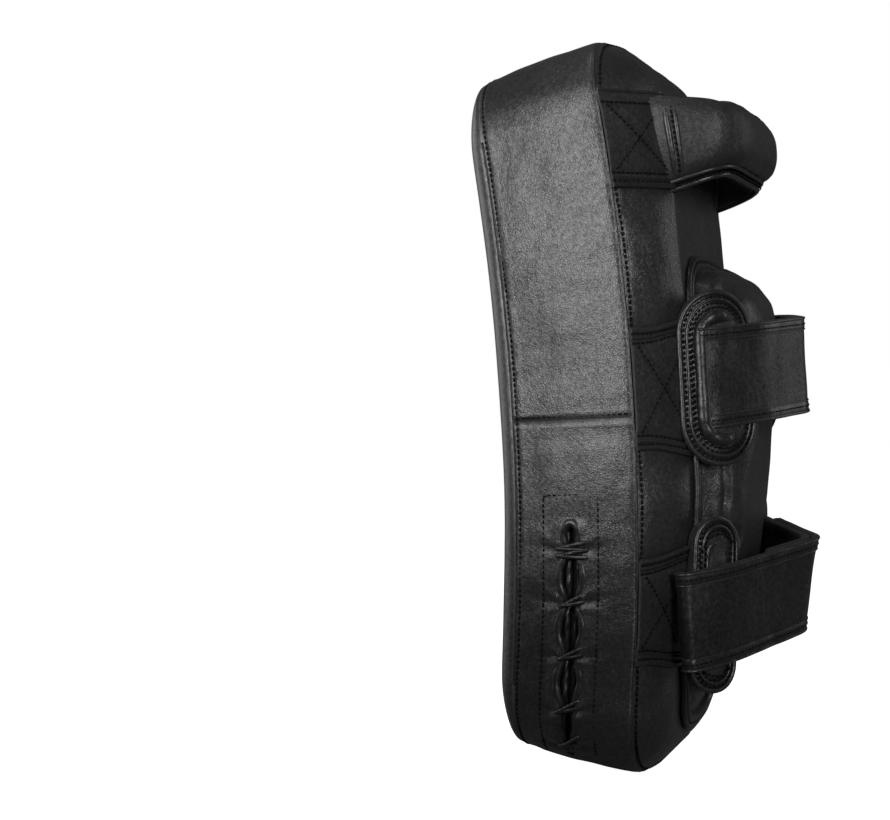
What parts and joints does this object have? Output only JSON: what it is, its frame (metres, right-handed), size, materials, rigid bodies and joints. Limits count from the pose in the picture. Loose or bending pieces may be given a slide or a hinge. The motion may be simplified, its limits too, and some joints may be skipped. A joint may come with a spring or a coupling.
{
  "type": "kick pad",
  "caption": "Curved leather kick pad for martial arts training, with a padded handle, two hook-and-loop forearm straps and a laced foam core.",
  "frame": {"origin": "middle of the back edge seam, halfway up the pad and halfway across it, where the forearm lies", "axes": "+Z along the pad towards the handle end, +Y out of the back on the strap side, +X towards the laced side wall; the strike face looks to -Y"},
  "size_m": [0.2046, 0.1668, 0.4018],
  "materials": {
    "black_leather": "semi-matt grained leather, softly worn",
    "nubuck_leather": "matt buffed leather",
    "webbing": "woven nylon webbing",
    "hook_and_loop": "hook and loop tape",
    "cord": "waxed round cord",
    "foam": "closed-cell foam"
  },
  "bodies": {
    "pad": {"back_dome_foam": "foam", "back_edge_welt": "black_leather", "back_panel_centre": "black_leather", "back_panel_lace_side": "black_leather", "back_panel_plain_side": "black_leather", "backing_foam": "foam", "band_lower": "black_leather", "band_middle": "black_leather", "band_top": "black_leather", "core_foam": "foam", "cushion_cover": "black_leather", "cushion_foam": "foam", "cushion_piping": "black_leather", "front_edge_welt": "black_leather", "lace_cord": "cord", "lace_facing": "black_leather", "lace_lips": "black_leather", "lace_tongue": "black_leather", "lower_anchor_patch_lace_side": "black_leather", "lower_anchor_patch_plain_side": "black_leather", "lower_slot_lips": "black_leather", "side_wall_lower": "black_leather", "side_wall_upper": "black_leather", "strike_face_panel": "black_leather", "strike_foam": "foam", "upper_anchor_patch_lace_side": "black_leather", "upper_anchor_patch_plain_side": "black_leather", "upper_slot_lips": "black_leather"},
    "handle": {"handle_cover": "black_leather", "handle_foam": "foam", "handle_lining": "black_leather", "handle_webbing": "webbing"},
    "lower_strap_outer": {"lower_hook_patch": "hook_and_loop", "lower_outer_strap_binding": "black_leather", "lower_outer_strap_face": "nubuck_leather", "lower_outer_strap_webbing": "webbing"},
    "lower_strap_inner": {"lower_inner_strap_binding": "black_leather", "lower_inner_strap_loop_face": "hook_and_loop", "lower_inner_strap_webbing": "webbing"},
    "upper_strap_outer": {"upper_hook_patch": "hook_and_loop", "upper_outer_strap_binding": "black_leather", "upper_outer_strap_face": "nubuck_leather", "upper_outer_strap_webbing": "webbing"},
    "upper_strap_inner": {"upper_inner_strap_binding": "black_leather", "upper_inner_strap_loop_face": "hook_and_loop", "upper_inner_strap_webbing": "webbing"}
  },
  "joints": [
    {"name": "upper_strap_open", "type": "hinge", "parent": "pad", "child": "upper_strap_outer", "pos_m": [0.071, 0.0313, 0.014], "axis": [-0.0698, 0, -0.9976], "range_deg": [0, 100]},
    {"name": "upper_inner_tab_lift", "type": "hinge", "parent": "pad", "child": "upper_strap_inner", "pos_m": [-0.07065, 0.0313, 0.0239], "axis": [0.0698, 0, 0.9976], "range_deg": [0, 36]},
    {"name": "lower_strap_open", "type": "hinge", "parent": "pad", "child": "lower_strap_outer", "pos_m": [0.0795, 0.0196, -0.114], "axis": [-0.1219, 0, -0.9925], "range_deg": [0, 100]},
    {"name": "lower_inner_tab_lift", "type": "hinge", "parent": "pad", "child": "lower_strap_inner", "pos_m": [-0.07831, 0.0196, -0.09462], "axis": [0.1219, 0, 0.9925], "range_deg": [0, 36]},
    {"name": "handle_sway", "type": "hinge", "parent": "pad", "child": "handle", "pos_m": [0, 0.0225, 0.143], "axis": [1, 0, 0], "range_deg": [-12, 12]}
  ],
  "couplings": [
    {"joint": "upper_inner_tab_lift", "follows": "upper_strap_open", "ratio": 0.35},
    {"joint": "lower_inner_tab_lift", "follows": "lower_strap_open", "ratio": 0.35}
  ]
}
